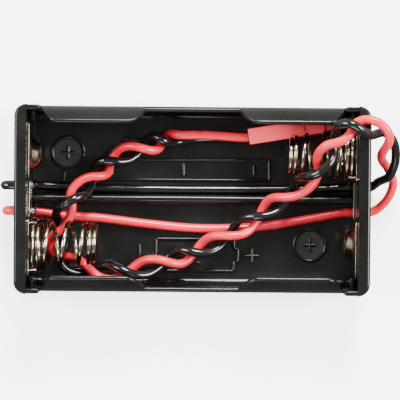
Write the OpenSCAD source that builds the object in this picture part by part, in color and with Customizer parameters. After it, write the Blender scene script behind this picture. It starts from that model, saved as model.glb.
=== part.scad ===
// Open holder for two cylindrical cells lying side by side, with two twisted
// leads and a small two-way plug. X runs along the cells, Y across them and
// Z up. The origin is the middle of the flat underside.

/* [Cells] */
// Diameter of one cell
cell_d = 14.5; // [10:0.1:20]
// Length of one cell with its button
cell_l = 50.5; // [40:0.5:70]
// Gap between the two cells
cell_gap = 0.1; // [0:0.05:0.5]
// Gap between a cell and the wall round it
seat_clear = 0.05; // [0:0.05:0.3]

/* [Body] */
// Thickness of the floor under the cells
floor_t = 1.2; // [0.8:0.1:2.5]
// Thickness of the long side walls and their lips
wall_t = 0.8; // [0.6:0.1:1.5]
// Thickness of the two end walls
end_wall_t = 2; // [1.2:0.1:3]
// Room for the contacts and the squeezed springs, both ends together
contact_room = 3.7; // [3:0.1:6]
// How far an end wall stands outside the side walls
end_wall_step = 0.1; // [0:0.05:0.5]
// How far the end walls rise above the lips
end_over_lip = 0.65; // [0.2:0.05:2]
// Radius of the upright corners
corner_r = 2; // [0.5:0.1:3]
// Radius of the outer top edges
edge_r = 0.6; // [0.2:0.1:1]
// Radius between the floor and the side wall
trough_corner_r = 1.4; // [1:0.1:5]
// Height of the ridge between the cells, above the underside
ridge_h = 4; // [2.5:0.1:5]
// Thickness of the ridge
ridge_t = 1.4; // [0.6:0.1:1.8]
// Radius at the foot of the ridge
ridge_foot_r = 0.2; // [0.1:0.05:0.4]

/* [Snap lips] */
// Angle that a lip wraps above the middle of its cell
lip_angle = 44; // [30:1:55]
// Rise of the low wall between the lips above the middle of a cell
low_wall_rise = 2; // [0.5:0.1:3]
// Length of the finger opening in the middle of each side
finger_l = 15.4; // [10:0.2:20]
// Length of the upright wing between a lip and the end wall
wing_l = 2.1; // [1:0.1:4]
// Length that a lip loses beside the wing on its way up
wing_slant = 2; // [0.5:0.1:3]
// Length that a lip loses beside the finger opening on its way up
finger_slant = 2; // [0.5:0.1:2.5]
// Radius of a lip's corner beside the wing
wing_corner_r = 2.6; // [0.5:0.1:3]
// Radius of a lip's corner beside the finger opening
finger_corner_r = 2.4; // [0.5:0.1:3]

/* [Contacts] */
// Thickness of the contact sheet
contact_t = 0.3; // [0.2:0.05:0.5]
// Gap between a lead and the plate it passes
plate_pass = 0.05; // [0.05:0.05:0.3]
// Distance between a plate and the side wall
plate_edge = 1.4; // [1:0.1:2]
// Rise of a contact plate above the middle of a cell
plate_rise = 3.9; // [3:0.1:5]
// Diameter of the pressed button at its foot
button_d = 6.6; // [4:0.1:7]
// Height of the pressed button
button_h = 1.75; // [0.8:0.05:2]
// Play round a contact in its guides
guide_clear = 0.1; // [0.05:0.05:0.3]
// Thickness of the guides that hold the contacts
guide_t = 0.6; // [0.4:0.1:1]
// How far a guide reaches over the edge of a contact
guide_reach = 0.4; // [0.3:0.1:0.8]
// Width of a solder ear
ear_h = 2.2; // [1.8:0.1:2.6]
// Gap between an ear and the plate it passes
ear_gap = 0.3; // [0.2:0.05:0.5]
// Diameter of a bead of solder
bead_d = 1.6; // [1.2:0.1:2]

/* [Springs] */
// Diameter of the spring wire
wire_d = 0.7; // [0.4:0.05:0.8]
// Outer diameter of the spring at its free end
spring_tip_d = 6.3; // [4.5:0.1:7]
// Free length of the spring
spring_l = 11.2; // [8:0.1:13]
// Number of turns
spring_turns = 6.5; // [5:0.5:8]

/* [Leads] */
// Diameter of a lead over its insulation
lead_d = 1.5; // [1.2:0.1:1.8]
// Diameter of the bare conductor
core_d = 0.8; // [0.4:0.05:1]
// Play of a lead in its hole
hole_clear = 0.3; // [0.1:0.05:0.6]
// Distance of the lead holes from the middle of the body
hole_y = 2.15; // [1.9:0.05:3]
// Height between the lower and upper hole of the red lead, left end
red_turn_h = 4.4; // [3.8:0.1:5.5]
// Height between the lower and upper hole of the black lead, left end
black_turn_h = 7.4; // [6.8:0.1:8.5]
// How far a lead bows out of the left end wall
turn_out = 2; // [0.9:0.1:2.5]
// How far the red lead bows out on the floor
red_bow = 2.85; // [0:0.05:3.5]
// How far the black lead is drawn in to the ridge
black_tuck = 0.55; // [0:0.05:0.7]
// Sideways slack between the two free leads where they twist
twist_side_slack = 0.9; // [0.7:0.05:1.4]
// Upright slack between the two free leads where they twist
twist_up_slack = 0.8; // [0.7:0.05:1.4]

/* [Plug] */
// Length of the plug housing without its nose
plug_l = 12.8; // [10:0.1:16]
// Thickness of the plug housing
plug_t = 2.7; // [2.4:0.1:3.2]
// Height of the plug housing across its two ways
plug_h = 5.2; // [4:0.1:6]
// Distance between the two ways of the plug
plug_pitch = 2; // [1.9:0.05:2.2]
// Length of the nose
nose_l = 1.2; // [0.8:0.1:2]
// How much slimmer the nose is than the housing
nose_step = 0.7; // [0.4:0.1:1]
// Length of the latch ramp
latch_l = 3.6; // [2:0.1:5]
// Height of the latch ramp
latch_h = 0.35; // [0.2:0.05:0.8]
// Width of the latch ramp
latch_w = 1.4; // [0.8:0.1:2]

/* [Hidden] */
$fn = 64;

// How far joined solids run into each other, and cutters run past a face
join = 0.5;
past = 1;

// Places worked out from the sizes above
axis_y = (cell_d + cell_gap) / 2;
trough_r = cell_d / 2 + seat_clear;
axis_z = floor_t + trough_r;
lip_r = trough_r + wall_t;
side_y = axis_y + lip_r;
half_w = side_y + end_wall_step;
pocket_x = (cell_l + contact_room) / 2;
half_l = pocket_x + end_wall_t;
lip_tip_z = axis_z + (trough_r + wall_t / 2) * sin(lip_angle) + wall_t / 2;
body_h = lip_tip_z + end_over_lip;
low_wall_z = axis_z + low_wall_rise;
hole_d = lead_d + hole_clear;
floor_gap = 0.05;
lead_z = floor_t + lead_d / 2 + floor_gap;
red_ear_z = lead_z + red_turn_h;
black_ear_z = lead_z + black_turn_h;

// Contacts
plate_foot = floor_t + guide_clear;
plate_top = axis_z + plate_rise;
plate_out = side_y - wall_t - plate_edge;
plate_in = hole_y + lead_d / 2 + plate_pass;
contact_x = pocket_x - contact_t;
plate_corner_r = 1.2;
button_wall = 0.25;
ear_tip = 0.65;
ear_hole_d = core_d + 0.1;
ear_end = hole_y + ear_tip;
bridge_z = ridge_h + 0.5;
bridge_h = 3;
clip_t = 0.3;
clip_w = 1.2;
clip_hook = 0.3;

// Guides of the contacts: drop of the post below the plate, foot rib
post_drop = 1.5;
foot_rib_w = 5;
foot_rib_h = 0.8;

// Springs
coil_gap = 0.05;
coil_close = 0.5;
coil_steps = 10;
coil_sides = 8;
base_out = plate_out - guide_reach - guide_clear;
base_y = (base_out + plate_in) / 2;
base_d = base_out - plate_in;

// The twisted pair, and the height of its middle where it lies on the floor
twist_side = (lead_d + twist_side_slack) / 2;
twist_up = (lead_d + twist_up_slack) / 2;
pair_z = floor_t + lead_d / 2 + twist_up;

// The routes of the free leads are drawn for a body of this half length, half
// width and height, with the pair's middle this high where it lies on the
// floor, and follow the body when it changes.
ROUTE_SIZE = [29.1, 15.5, 15, 3.1];
// The twisted pair crosses itself once at each of these points, in turn with
// the black lead above and with the red lead above.
PAIR = [[32.5, 5, 7.2], [31.35, 10.7, 14.8], [26, 12.3, 17], [22.8, 9.7, 15.2],
    [20.2, 4.8, 13.4], [15.9, 0.9, 7.6], [11.2, -2.6, 5.4], [6.2, -6, 4.4],
    [0.5, -8.9, 3.4], [-4.5, -10.5, 3.25], [-10.8, -12.4, 3.25], [-17, -12.1, 3.25],
    [-22.3, -9.9, 3.15], [-22.5, -5.3, 3.1], [-20.4, -0.4, 6.4], [-16.6, 3.4, 3.8],
    [-13.8, 6.3, 3.25], [-8.6, 8.5, 3.25], [-5.2, 9.9, 3.25]];
// Where the pair forms, outside the right end wall
PAIR_START = [32.6, 3.2, 4];
// Each lead between its hole and the pair
RED_START = [[31.6, -1.3, 2.1], [33.2, 0.6, 2.7]];
BLACK_START = [[30.4, 2.3, 2.1]];
// Each lead between the pair and the plug
RED_END = [[-3.7, 10.95, 3.1], [-2, 10.75, 4.4], [2.5, 10.75, 4.9]];
BLACK_END = [[-3.9, 9.35, 3.5], [-2.2, 9.6, 2.4], [0.5, 10.2, 2.1], [4.5, 10.4, 2.6]];
// Floor runs: share of the length, share of the bow or tuck
RED_RUN = [[-0.97, 0.05], [-0.78, 0.31], [-0.58, 0.42], [-0.28, 0.75], [0.05, 1],
    [0.42, 0.87], [0.67, 0.5], [0.92, 0.05]];
BLACK_RUN = [[-0.97, 0.05], [-0.6, 0.8], [-0.2, 1], [0.3, 0.9], [0.75, 0.5],
    [0.92, 0.08]];
// The bow outside the left end wall starts this deep in the wall and turns at
// this radius; at the right end the leads leave straight for this length
turn_in = 0.3;
turn_r = 1;
straight_out = 0.8;

// Middle of the rear face of the plug, and the way the plug points
PLUG_AT = [9.4, 10.55, 3.9];
PLUG_TURN = 9.3;
PLUG_TILT = 1.5;
plug_edge_r = 0.35;
latch_x = plug_l * 0.45;
// Crimped contacts: the crimped length and the socket in front of it
crimp_l = 2.8;
crimp_clear = 0.1;
pin_d = 1;
pin_bore = 0.6;
socket_x = 5;

// ---- Small tools -------------------------------------------------------

// A rectangle with round corners, centred
module rounded(w, h, r) {
    square([w - 2 * r, h], center = true);
    square([w, h - 2 * r], center = true);
    for (x = [-1, 1], y = [-1, 1])
        translate([x * (w / 2 - r), y * (h / 2 - r)]) circle(r);
}

// An outline in Y and Z carried along X from x0 over a length
module along_x(x0, length) {
    translate([x0, 0, 0]) rotate([90, 0, 90]) linear_extrude(length) children();
}

// An outline in X and Z carried across the body along Y
module along_y(width) {
    rotate([90, 0, 0]) linear_extrude(width, center = true) children();
}

// The same thing on both sides of the middle
module both_sides() {
    children();
    mirror([0, 1, 0]) children();
}

// The material that fills a square corner outside a quarter circle
module fillet(r) {
    difference() {
        translate([-0.01, -0.01]) square(r + 0.01);
        translate([r, r]) circle(r);
    }
}

function unit(v) = v / norm(v);
function tangent(p, i) = unit(p[min(i + 1, len(p) - 1)] - p[max(i - 1, 0)]);

// Side vectors of a path, each turned as little as possible from the last
function side_vectors(p, n, i = 0) = i == len(p) ? [] :
    let (t = tangent(p, i), m = unit(n - (n * t) * t))
    concat([m], side_vectors(p, m, i + 1));

// A closed round tube along a list of points
module tube(p, d, sides, start_side) {
    side = side_vectors(p, start_side);
    n = len(p);
    points = [for (i = [0:n - 1], k = [0:sides - 1])
        let (a = 360 * (k + 0.5) / sides, t = tangent(p, i))
        p[i] + d / 2 * (cos(a) * side[i] + sin(a) * cross(t, side[i]))];
    walls = [for (i = [0:n - 2], k = [0:sides - 1], half = [0, 1])
        let (a = i * sides + k, b = i * sides + (k + 1) % sides)
        half == 0 ? [a, b + sides, b] : [a, a + sides, b + sides]];
    first = [[for (k = [0:sides - 1]) k]];
    last = [[for (k = [sides - 1:-1:0]) (n - 1) * sides + k]];
    polyhedron(points, concat(walls, first, last), convexity = 10);
}

// ---- Body --------------------------------------------------------------

// The section of the tray: floor, side walls, ridge and the snap lips
module tray_section() {
    wall_y = side_y - wall_t;
    translate([-side_y, 0]) square([2 * side_y, floor_t]);
    translate([-ridge_t / 2, 0]) square([ridge_t, ridge_h - ridge_t / 2]);
    translate([0, ridge_h - ridge_t / 2]) circle(d = ridge_t);
    for (s = [0, 1]) mirror([s, 0]) {
        translate([wall_y, 0]) square([wall_t, axis_z]);
        translate([wall_y, floor_t]) mirror([1, 0]) fillet(trough_corner_r);
        translate([ridge_t / 2, floor_t]) fillet(ridge_foot_r);
        translate([axis_y, axis_z]) lip_section();
    }
}

// One lip: an arc round the cell with a round edge
module lip_section() {
    reach = 2 * lip_r;
    intersection() {
        difference() {
            circle(lip_r, $fn = 128);
            circle(trough_r, $fn = 128);
        }
        polygon([[0, 0], [reach, 0], [reach, reach * tan(lip_angle)]]);
    }
    rotate(lip_angle) translate([trough_r + wall_t / 2, 0]) circle(d = wall_t);
}

// Round corner of the lip outline, from one direction to another
function arc_points(centre, r, from, to, steps = 6) =
    [for (i = [0:steps]) let (a = from + (to - from) * i / steps)
        centre + r * [cos(a), sin(a)]];

// Outline of one lip seen from the side: a tapered tab with round corners
module lip_outline() {
    rise = lip_tip_z - low_wall_z;
    x0 = finger_l / 2;
    x1 = pocket_x - wing_l;
    lean0 = atan(finger_slant / rise);
    lean1 = atan(wing_slant / rise);
    a = x0 + finger_slant + finger_corner_r * tan((90 - lean0) / 2);
    b = x1 - wing_slant - wing_corner_r * tan((90 - lean1) / 2);
    polygon(concat([[x0, low_wall_z - join], [x0, low_wall_z]],
        arc_points([a, lip_tip_z - finger_corner_r], finger_corner_r, 180 - lean0, 90),
        arc_points([b, lip_tip_z - wing_corner_r], wing_corner_r, 90, lean1),
        [[x1, low_wall_z], [x1, low_wall_z - join]]));
}

// Side view of the long walls, with the finger opening and the end gaps
module side_outline() {
    translate([-half_l, 0]) square([2 * half_l, low_wall_z]);
    for (s = [0, 1]) mirror([s, 0]) lip_outline();
}

// The upright wing of a side wall beside the right end wall
module wing() {
    translate([pocket_x - wing_l, side_y - wall_t, 0])
        cube([wing_l + join, wall_t, body_h]);
}

// Ribs that hold the outer edge and the foot of a contact, right end
module contact_guides() {
    slot = contact_t + guide_clear;
    x = pocket_x - slot - guide_t;
    post_in = plate_out - guide_reach;
    translate([x, post_in, 0])
        cube([guide_t, side_y - wall_t / 2 - post_in, plate_top - post_drop]);
    translate([x, axis_y - foot_rib_w / 2, 0])
        cube([guide_t, foot_rib_w, floor_t + foot_rib_h]);
}

// What the round outer edges leave of the outside
module envelope() {
    intersection() {
        linear_extrude(body_h) rounded(2 * half_l, 2 * half_w, corner_r);
        translate([0, 0, body_h / 2]) along_y(2 * (half_w + past))
            rounded(2 * half_l, body_h, edge_r);
        translate([0, 0, body_h / 2]) along_x(-half_l - past, 2 * (half_l + past))
            rounded(2 * half_w, body_h, edge_r);
    }
}

module lead_hole(x, y, z) {
    translate([x, y, z]) rotate([0, 90, 0])
        cylinder(h = end_wall_t + 2 * past, d = hole_d, center = true);
}

module holder_body() {
    wall_x = pocket_x + end_wall_t / 2;
    color([0.09, 0.09, 0.1]) difference() {
        intersection() {
            union() {
                intersection() {
                    along_x(-pocket_x - join, 2 * (pocket_x + join)) tray_section();
                    along_y(2 * (half_w + past)) side_outline();
                }
                for (s = [-1, 1])
                    translate([s * wall_x, 0, body_h / 2])
                        cube([end_wall_t, 2 * half_w, body_h], center = true);
                for (s = [0, 1]) mirror([s, 0, 0]) both_sides() {
                    contact_guides();
                    wing();
                }
            }
            envelope();
        }
        for (x = [-wall_x, wall_x], y = [-hole_y, hole_y]) lead_hole(x, y, lead_z);
        lead_hole(-wall_x, -hole_y, red_ear_z);
        lead_hole(-wall_x, hole_y, black_ear_z);
    }
}

// ---- Contacts ----------------------------------------------------------

// A flat plate with two round top corners, on the right end wall, +Y side
module plate() {
    r = plate_corner_r;
    plate_w = plate_out - plate_in;
    along_x(contact_x, contact_t) {
        translate([plate_in, plate_foot]) square([plate_w, plate_top - plate_foot - r]);
        translate([plate_in + r, plate_top - r]) square([plate_w - 2 * r, r]);
        for (y = [plate_in + r, plate_out - r]) translate([y, plate_top - r]) circle(r);
    }
}

// The ear of the right end plate, +Y side: it passes over the ridge to the
// lead on the far side and is soldered there
module solder_ear(z) {
    difference() {
        along_x(contact_x, contact_t) translate([-ear_end, z - ear_h / 2])
            square([plate_in + ear_end + join, ear_h]);
        translate([contact_x - past, -hole_y, z]) rotate([0, 90, 0])
            cylinder(h = 2 * past + contact_t, d = ear_hole_d, $fn = 24);
    }
}

// Room in a plate for the end of the other contact's ear
module ear_notch(z) {
    h = ear_h + 2 * ear_gap;
    translate([contact_x - past, plate_in - past, z - h / 2])
        cube([contact_t + 2 * past, ear_end + ear_gap - plate_in + past, h]);
}

// Outline of the pressed button, radius against height
module button_profile(r, h) {
    polygon([[0, -contact_t / 2], [r, -contact_t / 2], [r, 0], [r * 0.88, h * 0.12],
        [r * 0.74, h * 0.4], [r * 0.6, h * 0.76], [r * 0.48, h * 0.93], [r * 0.34, h],
        [0, h]]);
}

// The pressed button, hollow behind, pointing along -X
module button() {
    translate([contact_x, axis_y, axis_z]) rotate([0, -90, 0])
        rotate_extrude($fn = 40) button_profile(button_d / 2, button_h);
}

module button_hollow() {
    translate([contact_x, axis_y, axis_z]) rotate([0, -90, 0])
        translate([0, 0, -contact_t]) rotate_extrude($fn = 40)
            button_profile(button_d / 2 - button_wall, button_h);
}

module button_plate() {
    difference() {
        union() {
            plate();
            button();
        }
        button_hollow();
    }
}

// Two bent clips that hold the first turn of the spring
module coil_clips() {
    r = base_d / 2 + coil_gap;
    reach = 5 * coil_gap + wire_d + clip_t;
    for (a = [35, 145])
        translate([contact_x, base_y, axis_z]) rotate([a, 0, 0]) {
            translate([-reach, r, -clip_w / 2]) cube([reach + 0.1, clip_t, clip_w]);
            translate([-reach, r - clip_hook, -clip_w / 2])
                cube([clip_t, clip_hook + clip_t, clip_w]);
        }
}

module positive_contact() {
    color([0.78, 0.76, 0.72]) mirror([1, 0, 0]) difference() {
        union() {
            button_plate();
            solder_ear(red_ear_z);
        }
        ear_notch(black_ear_z);
    }
}

module negative_contact() {
    color([0.78, 0.76, 0.72]) mirror([1, 0, 0]) mirror([0, 1, 0]) difference() {
        union() {
            plate();
            solder_ear(black_ear_z);
            coil_clips();
        }
        ear_notch(red_ear_z);
    }
}

// One strip at the right end that joins the two cells in line
module link_contact() {
    color([0.78, 0.76, 0.72]) {
        plate();
        coil_clips();
        mirror([0, 1, 0]) button_plate();
        translate([contact_x, -plate_in - join, bridge_z])
            cube([contact_t, 2 * (plate_in + join), bridge_h]);
    }
}

// ---- Springs -----------------------------------------------------------

// Share of the free length reached at a share of the turns: nearly closed
// first and last turns and an open middle
function coil_rise(s) =
    let (m = min(max((s - 0.25) / 0.5, 0), 1))
    coil_close * s + (1 - coil_close) * m * m * (3 - 2 * m);

// A tapered spring on the right end plate, pointing along -X
module tapered_spring() {
    count = spring_turns * coil_steps;
    travel = spring_l - wire_d - coil_gap;
    r0 = (base_d - wire_d) / 2;
    r1 = (spring_tip_d - wire_d) / 2;
    points = [for (i = [0:count])
        let (s = i / count, a = 360 * i / coil_steps,
            r = r0 + (r1 - r0) * s, y = base_y + (axis_y - base_y) * s)
        [contact_x - coil_gap - wire_d / 2 - travel * coil_rise(s),
            y + r * cos(a), axis_z + r * sin(a)]];
    tube(points, wire_d, coil_sides, [1, 0, 0]);
}

module link_spring() {
    color([0.8, 0.77, 0.7]) tapered_spring();
}

module negative_spring() {
    color([0.8, 0.77, 0.7]) mirror([1, 0, 0]) mirror([0, 1, 0]) tapered_spring();
}

// ---- Leads inside the body ---------------------------------------------

// The bow of a lead outside the left end wall, from its upper to its lower hole
function bow(side, z) =
    [for (p = [[turn_in, z], [-0.75 * turn_out, z - turn_r / 4], [-turn_out, z - turn_r],
            [-turn_out, lead_z + turn_r], [-0.75 * turn_out, lead_z + turn_r / 4],
            [turn_in, lead_z]])
        [p[0] - half_l, side * hole_y, p[1]]];

// From the solder ear, through the bow outside the left end wall, back in and
// along the floor to the outside of the right end wall
function inner_route(side, z, run, swing) =
    concat([[-pocket_x, side * hole_y, z]], bow(side, z),
        [for (k = [0:2 * (len(run) - 1)]) let (p = curve(run, k / 2))
            [p[0] * pocket_x, side * (hole_y + swing * p[1]), lead_z]],
        [for (x = [half_l - lead_d, half_l]) [x, side * hole_y, lead_z]]);

module red_inner_lead() {
    color([0.85, 0.2, 0.2])
        tube(inner_route(-1, red_ear_z, RED_RUN, red_bow), lead_d, 8, [0, 1, 0]);
}

module black_inner_lead() {
    color([0.06, 0.06, 0.07])
        tube(inner_route(1, black_ear_z, BLACK_RUN, -black_tuck), lead_d, 8, [0, 1, 0]);
}

// The bare core through the ear and the bead of solder on it
module solder_joint(y, z) {
    color([0.75, 0.75, 0.76]) translate([-pocket_x, y, z]) rotate([0, 90, 0]) {
        cylinder(h = contact_t + bead_d / 4, d = core_d, $fn = 16);
        translate([0, 0, contact_t]) rotate_extrude($fn = 20)
            polygon(bead_d / 2 * [[0, 0], [1, 0], [0.87, 0.5], [0.5, 0.87], [0, 1]]);
    }
}

module red_solder_joint() {
    solder_joint(-hole_y, red_ear_z);
}

module black_solder_joint() {
    solder_joint(hole_y, black_ear_z);
}

// ---- Free leads --------------------------------------------------------

// A point of a route, moved with the sizes of the body
function fitted(p) = [p[0] * half_l / ROUTE_SIZE[0], p[1] * half_w / ROUTE_SIZE[1],
    pair_z + (p[2] - ROUTE_SIZE[3]) * (body_h - pair_z) / (ROUTE_SIZE[2] - ROUTE_SIZE[3])];

// A smooth curve through points, u = 0 at the first
function curve(p, u) =
    let (i = min(max(floor(u), 0), len(p) - 2), f = u - i,
        a = p[max(i - 1, 0)], b = p[i], c = p[i + 1], d = p[min(i + 2, len(p) - 1)])
    0.5 * (2 * b + (c - a) * f + (2 * a - 5 * b + 4 * c - d) * f * f
        + (3 * b - a - 3 * c + d) * f * f * f);

// Place of a lead in the pair: half a turn from one crossing to the next
function twisted(u, sign) =
    let (e = 0.05, p = [for (q = PAIR) fitted(q)], last = len(p) - 1,
        t = unit(curve(p, min(u + e, last)) - curve(p, max(u - e, 0))),
        up = unit([0, 0, 1] - t[2] * t), right = cross(t, up))
    curve(p, u) + sign * (twist_up * cos(180 * u) * up + twist_side * sin(180 * u) * right);

function plug_axis() = [cos(PLUG_TILT) * cos(PLUG_TURN), cos(PLUG_TILT) * sin(PLUG_TURN),
    sin(PLUG_TILT)];
function plug_up() = [-sin(PLUG_TILT) * cos(PLUG_TURN), -sin(PLUG_TILT) * sin(PLUG_TURN),
    cos(PLUG_TILT)];

// The whole route of a free lead, with its start between hole and pair and its
// end between pair and plug
function lead_route(side, sign, start, end) =
    let (hole = [half_l, side * hole_y, lead_z], last = len(PAIR) - 1,
        way = fitted(PLUG_AT) - sign * plug_pitch / 2 * plug_up())
    concat([hole, hole + [straight_out, 0, 0]], [for (p = start) fitted(p)],
        [fitted(PAIR_START) - [sign * twist_side, 0, 0]],
        [for (k = [0:3 * last]) twisted(k / 3, sign)],
        [for (p = end) fitted(p)], [way - plug_axis(), way]);

module red_lead() {
    color([0.85, 0.2, 0.2])
        tube(lead_route(-1, -1, RED_START, RED_END), lead_d, 8, [0, 1, 0]);
}

module black_lead() {
    color([0.06, 0.06, 0.07])
        tube(lead_route(1, 1, BLACK_START, BLACK_END), lead_d, 8, [0, 1, 0]);
}

// ---- Plug --------------------------------------------------------------

// Puts a thing drawn along +X from the origin where the plug lies
module at_plug() {
    translate(fitted(PLUG_AT)) rotate([0, -PLUG_TILT, PLUG_TURN]) children();
}

module plug_housing() {
    color([0.93, 0.45, 0.45]) at_plug() difference() {
        union() {
            along_x(0, plug_l) rounded(plug_t, plug_h, plug_edge_r, $fn = 24);
            along_x(plug_l - join, nose_l + join)
                square([plug_t - nose_step, plug_h - nose_step], center = true);
            translate([latch_x, 0, plug_h / 2 - join]) along_y(latch_w)
                polygon([[0, 0], [0, join], [latch_l * 0.8, latch_h + join],
                    [latch_l, latch_h + join], [latch_l, 0]]);
        }
        for (s = [-1, 1]) translate([-past, 0, s * plug_pitch / 2]) rotate([0, 90, 0]) {
            cylinder(h = past + crimp_l + crimp_clear, d = lead_d + crimp_clear, $fn = 24);
            cylinder(h = plug_l + nose_l + 2 * past, d = pin_d + crimp_clear, $fn = 24);
        }
    }
}

// Two crimped contacts, each on the end of a lead inside the housing
module crimp_terminals() {
    color([0.8, 0.74, 0.6]) at_plug()
        for (s = [-1, 1]) translate([0, 0, s * plug_pitch / 2]) rotate([0, 90, 0])
            difference() {
                union() {
                    cylinder(h = crimp_l, d = lead_d - crimp_clear, $fn = 24);
                    cylinder(h = plug_l, d = pin_d, $fn = 24);
                }
                translate([0, 0, socket_x]) cylinder(h = plug_l, d = pin_bore, $fn = 24);
            }
}

holder_body();
positive_contact();
negative_contact();
negative_spring();
link_contact();
link_spring();
red_inner_lead();
black_inner_lead();
red_solder_joint();
black_solder_joint();
red_lead();
black_lead();
plug_housing();
crimp_terminals();
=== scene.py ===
"""Looks of an open two-cell holder with spring contacts, twisted leads and a small in-line plug.

In the row frame X runs along the cells, Y across them and Z up, with the origin in the middle of
the flat underside. The finishes and the parts of the holder keep their sizes in millimetres and
turn them into metres where they use them; every other length is in metres.
"""

import logging
from collections.abc import Iterator
from contextlib import contextmanager
from dataclasses import dataclass, replace
from enum import Enum
from functools import partial
from itertools import accumulate
from math import radians

import bmesh
import bpy
import numpy as np
from bpy.types import Material, Mesh, NodeSocket, NodeTree, Object
from mathutils import Matrix, Vector


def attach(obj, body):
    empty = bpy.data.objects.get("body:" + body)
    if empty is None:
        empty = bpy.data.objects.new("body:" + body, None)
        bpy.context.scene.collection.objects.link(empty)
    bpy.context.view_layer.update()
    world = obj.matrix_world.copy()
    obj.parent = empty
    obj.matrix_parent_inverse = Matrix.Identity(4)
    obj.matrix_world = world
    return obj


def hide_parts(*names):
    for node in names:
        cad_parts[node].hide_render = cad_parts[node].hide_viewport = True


MM = 0.001
SAME_POINT = 1e-6  # metres within which two points are one
# Points round a lead, a spring's wire, a lead hole, a raised line and a disc.
LEAD_SIDES, WIRE_SIDES, HOLE_SIDES, LINE_SIDES, DISC_SIDES = 20, 14, 40, 10, 64
LOG = logging.getLogger("cell_holder")
Array = np.ndarray
Point = tuple[float, float, float]
Span = tuple[float, float]

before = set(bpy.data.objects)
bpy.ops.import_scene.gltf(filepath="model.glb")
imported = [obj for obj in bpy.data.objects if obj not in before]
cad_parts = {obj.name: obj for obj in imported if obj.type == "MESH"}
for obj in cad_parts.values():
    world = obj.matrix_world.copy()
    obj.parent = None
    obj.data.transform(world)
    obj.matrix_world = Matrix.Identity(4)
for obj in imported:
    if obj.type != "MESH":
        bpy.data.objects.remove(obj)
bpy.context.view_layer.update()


# ---- Small tools ----


def linear(hex_code: str) -> tuple[float, float, float, float]:
    """Turn an sRGB colour into the linear one that a shader takes.

    Args:
        hex_code: six hex digits, such as "c9c4ba".

    Returns:
        Linear red, green, blue and an alpha of one.
    """
    srgb = np.array([int(hex_code[i : i + 2], 16) for i in (0, 2, 4)]) / 255
    low, high = srgb / 12.92, ((srgb + 0.055) / 1.055) ** 2.4
    red, green, blue = np.where(srgb <= 0.04045, low, high)
    return (float(red), float(green), float(blue), 1.0)


def unit(vectors: Array) -> Array:
    """Scale vectors to length one along their last axis."""
    return vectors / np.linalg.norm(vectors, axis=-1, keepdims=True)


def add_node(
    tree: NodeTree, kind: str, settings: dict | None = None, links: dict | None = None
) -> bpy.types.bpy_prop_collection:
    """Add a shader node with its settings and links.

    Args:
        tree: the node tree of a material or world.
        kind: the node's type name, without the "ShaderNode" that they all start with.
        settings: property names, or input names or numbers, against their values.
        links: input names or numbers against the output sockets that feed them.

    Returns:
        The new node's outputs.
    """
    node = tree.nodes.new("ShaderNode" + kind)
    for name, value in (settings or {}).items():
        if isinstance(name, str) and hasattr(node, name):
            setattr(node, name, value)
        else:
            node.inputs[name].default_value = value
    for name, source in (links or {}).items():
        tree.links.new(source, node.inputs[name])
    return node.outputs


def ranged(
    tree: NodeTree, value: NodeSocket, span: Span, ends: Span = (0.0, 1.0), kind: str = "LINEAR"
) -> NodeSocket:
    """Add a node that maps a span of a value to two ends, and give the mapped value."""
    settings = dict(zip(("From Min", "From Max", "To Min", "To Max"), (*span, *ends)))
    settings["interpolation_type"] = kind
    return add_node(tree, "MapRange", settings, {"Value": value})["Result"]


def placed(name: str, data: bpy.types.ID) -> Object:
    """Put a mesh, a lamp or a camera into the scene as a new object at the origin."""
    thing = bpy.data.objects.new(name, data)
    bpy.context.scene.collection.objects.link(thing)
    return thing


def mesh_piece(name: str, points: Array, faces: list, smooth: bool = True) -> Object:
    """Put points and faces, which are lists of point numbers, into a new object."""
    mesh = bpy.data.meshes.new(name)
    mesh.from_pydata(points.tolist(), [], faces)
    mesh.polygons.foreach_set("use_smooth", np.full(len(mesh.polygons), smooth))
    mesh.update()
    return placed(name, mesh)


def closed_faces(rows: int, columns: int) -> list[list[int]]:
    """Faces between rings of points that close on themselves, with one face at each end."""
    ring, step = np.meshgrid(np.arange(rows - 1), np.arange(columns), indexing="ij")
    a = ring * columns + step
    b = ring * columns + (step + 1) % columns
    quads = np.stack([a, b, b + columns, a + columns], axis=-1).reshape(-1, 4)
    ends = np.array([np.arange(columns)[::-1], np.arange(columns) + (rows - 1) * columns])
    return quads.tolist() + ends.tolist()


def travelled(path: Array) -> Array:
    """Length along a path up to each of its points, 0 at the first."""
    steps = np.linalg.norm(np.diff(path, axis=0), axis=1)
    return np.concatenate([[0.0], np.cumsum(steps)])


def side_vectors(along: Array, start: Array) -> Array:
    """Side direction at each unit tangent: the last one less its part along the tangent."""
    turned = accumulate(along, lambda side, t: unit(side - (side @ t) * t), initial=unit(start))
    return np.array(list(turned)[1:])


def tube(name: str, path: Array, radius: float | Array, sides: int, start: Point) -> Object:
    """Carry a circle along a path and close both ends.

    A point at station i and angle a is path(i) + radius(i) * (cos a * side(i) + sin a * across(i)).

    Args:
        name: the piece's name.
        path: points along the middle of the tube.
        radius: the tube's radius, or its radius at each point.
        sides: number of points round the tube.
        start: a direction that isn't along the first part of the path.

    Returns:
        The tube, with its length in metres and its turn in the UV map.
    """
    along = unit(np.gradient(path, axis=0))
    side = side_vectors(along, np.array(start, float))
    across = np.cross(along, side)
    angle = (2 * np.pi * (np.arange(sides) + 0.5) / sides)[None, :, None]
    ring = np.cos(angle) * side[:, None] + np.sin(angle) * across[:, None]
    points = path[:, None] + np.broadcast_to(radius, len(path))[:, None, None] * ring
    piece = mesh_piece(name, points.reshape(-1, 3), closed_faces(len(path), sides))
    add_tube_map(piece, travelled(path), sides)
    return piece


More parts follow.
